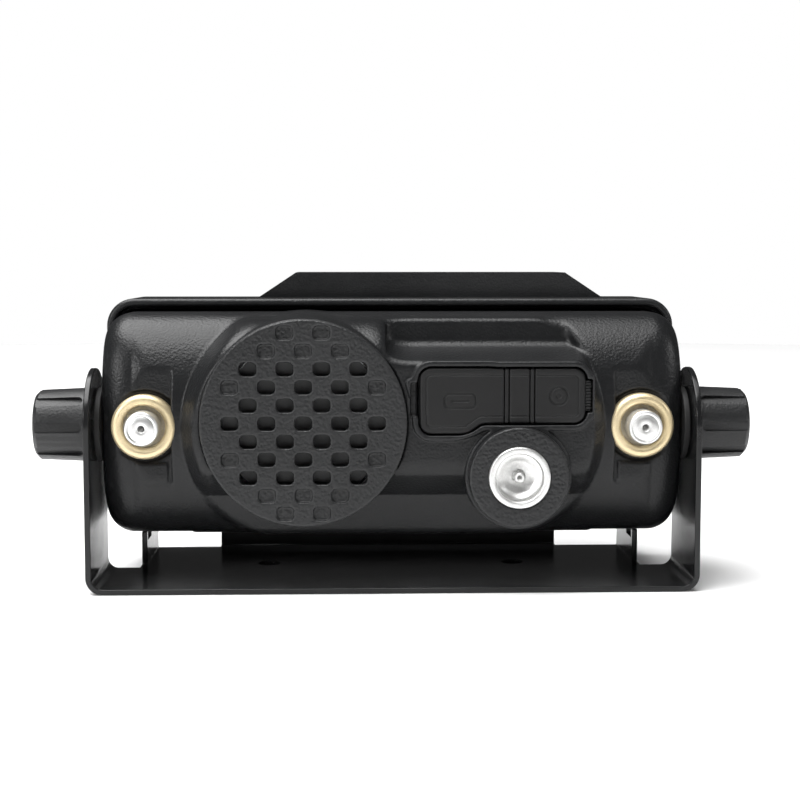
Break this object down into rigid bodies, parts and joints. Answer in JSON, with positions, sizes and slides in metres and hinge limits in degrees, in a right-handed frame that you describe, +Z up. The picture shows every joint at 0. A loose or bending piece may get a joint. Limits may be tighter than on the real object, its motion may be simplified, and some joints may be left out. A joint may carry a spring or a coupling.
{
  "type": "mobile transceiver",
  "caption": "Compact vehicle transceiver in a tilting U bracket: rear speaker, antenna jacks, power socket, port flaps, hooded display.",
  "frame": {"origin": "under the middle of the object, on the face that the bracket rests on", "axes": "+X across the radio towards its power socket side, +Y from the connector side to the display side, +Z up"},
  "size_m": [0.1346, 0.0524, 0.0594],
  "materials": {
    "bracket_paint": "smooth semi-gloss black powder coat",
    "knob_plastic": "moulded black plastic, fine matt texture",
    "zinc_steel": "zinc-plated steel",
    "black_rubber": "soft black rubber",
    "brass": "turned brass",
    "case_plastic": "moulded black plastic with fine leather grain, satin",
    "window": "glossy clear window over a dark display",
    "lcd_glass": "display module",
    "grille_plastic": "moulded black plastic, coarse leather grain",
    "cone_film": "dark coated film",
    "flap_rubber": "matt black silicone rubber",
    "nickel": "bright nickel plate",
    "black_plastic": "black plastic",
    "gold_ring": "satin gold-coloured plate",
    "circuit_board": "green solder mask",
    "cast_aluminium": "die-cast aluminium",
    "key_plastic": "matt grey-black rubberised plastic",
    "call_plastic": "orange moulded plastic",
    "lens": "translucent green light pipe",
    "black_steel": "black oxide steel"
  },
  "bodies": {
    "bracket": {"mounting_bracket": "bracket_paint"},
    "radio": {"side_washers": "black_rubber", "side_inserts": "brass", "rear_housing": "case_plastic", "front_housing": "case_plastic", "housing_gasket": "black_rubber", "display_hood": "case_plastic", "display_window": "window", "lcd_module": "lcd_glass", "speaker_grille": "grille_plastic", "speaker_gasket": "black_rubber", "speaker_basket": "zinc_steel", "speaker_cone": "cone_film", "port_strap": "flap_rubber", "usb_socket": "nickel", "audio_socket": "black_plastic", "left_antenna_jack": "nickel", "right_antenna_jack": "nickel", "antenna_rings": "gold_ring", "antenna_nuts": "nickel", "power_boss": "grille_plastic", "power_shell": "nickel", "power_insulator": "nickel", "power_pin": "nickel", "main_board": "circuit_board", "rf_shield": "zinc_steel", "chassis_plate": "cast_aluminium", "key_board": "circuit_board", "volume_encoder": "black_plastic", "channel_encoder": "black_plastic", "mic_socket": "nickel", "status_lens": "lens", "case_screws": "black_steel", "board_screws": "zinc_steel"},
    "left_knob": {"left_thumb_knob": "knob_plastic", "left_knob_stud": "zinc_steel"},
    "right_knob": {"right_thumb_knob": "knob_plastic", "right_knob_stud": "zinc_steel"},
    "usb_flap": {"usb_flap": "flap_rubber"},
    "audio_flap": {"audio_flap": "flap_rubber"},
    "menu_key": {"menu_key": "key_plastic"},
    "back_key": {"back_key": "key_plastic"},
    "up_key": {"up_key": "key_plastic"},
    "down_key": {"down_key": "key_plastic"},
    "call_key": {"call_key": "call_plastic"},
    "volume_dial": {"volume_knob": "knob_plastic", "volume_shaft": "zinc_steel"},
    "channel_dial": {"channel_knob": "knob_plastic", "channel_shaft": "zinc_steel"}
  },
  "joints": [
    {"name": "tilt", "type": "hinge", "parent": "bracket", "child": "radio", "pos_m": [0, -0.011, 0.0308], "axis": [1, 0, 0], "range_deg": [0, 60]},
    {"name": "left_knob_turn", "type": "hinge", "parent": "radio", "child": "left_knob", "pos_m": [-0.06, -0.011, 0.0308], "axis": [1, 0, 0], "continuous": true},
    {"name": "right_knob_turn", "type": "hinge", "parent": "radio", "child": "right_knob", "pos_m": [0.06, -0.011, 0.0308], "axis": [1, 0, 0], "continuous": true},
    {"name": "usb_flap_open", "type": "hinge", "parent": "radio", "child": "usb_flap", "pos_m": [0.0206, -0.0233, 0.037], "axis": [0, 0, 1], "range_deg": [0, 95]},
    {"name": "audio_flap_open", "type": "hinge", "parent": "radio", "child": "audio_flap", "pos_m": [0.0253, -0.0233, 0.037], "axis": [0, 0, -1], "range_deg": [0, 95]},
    {"name": "volume_turn", "type": "hinge", "parent": "radio", "child": "volume_dial", "pos_m": [-0.04, 0.02, 0.0415], "axis": [0, -1, 0], "range_deg": [0, 280]},
    {"name": "channel_turn", "type": "hinge", "parent": "radio", "child": "channel_dial", "pos_m": [-0.04, 0.02, 0.0205], "axis": [0, -1, 0], "continuous": true},
    {"name": "menu_key_press", "type": "slide", "parent": "radio", "child": "menu_key", "axis": [0, -1, 0], "range_m": [0, 0.0005], "stiffness_N_per_m": 600, "springref_m": -0.0003},
    {"name": "back_key_press", "type": "slide", "parent": "radio", "child": "back_key", "axis": [0, -1, 0], "range_m": [0, 0.0005], "stiffness_N_per_m": 600, "springref_m": -0.0003},
    {"name": "up_key_press", "type": "slide", "parent": "radio", "child": "up_key", "axis": [0, -1, 0], "range_m": [0, 0.0005], "stiffness_N_per_m": 600, "springref_m": -0.0003},
    {"name": "down_key_press", "type": "slide", "parent": "radio", "child": "down_key", "axis": [0, -1, 0], "range_m": [0, 0.0005], "stiffness_N_per_m": 600, "springref_m": -0.0003},
    {"name": "call_key_press", "type": "slide", "parent": "radio", "child": "call_key", "axis": [0, -1, 0], "range_m": [0, 0.0005], "stiffness_N_per_m": 600, "springref_m": -0.0003}
  ]
}
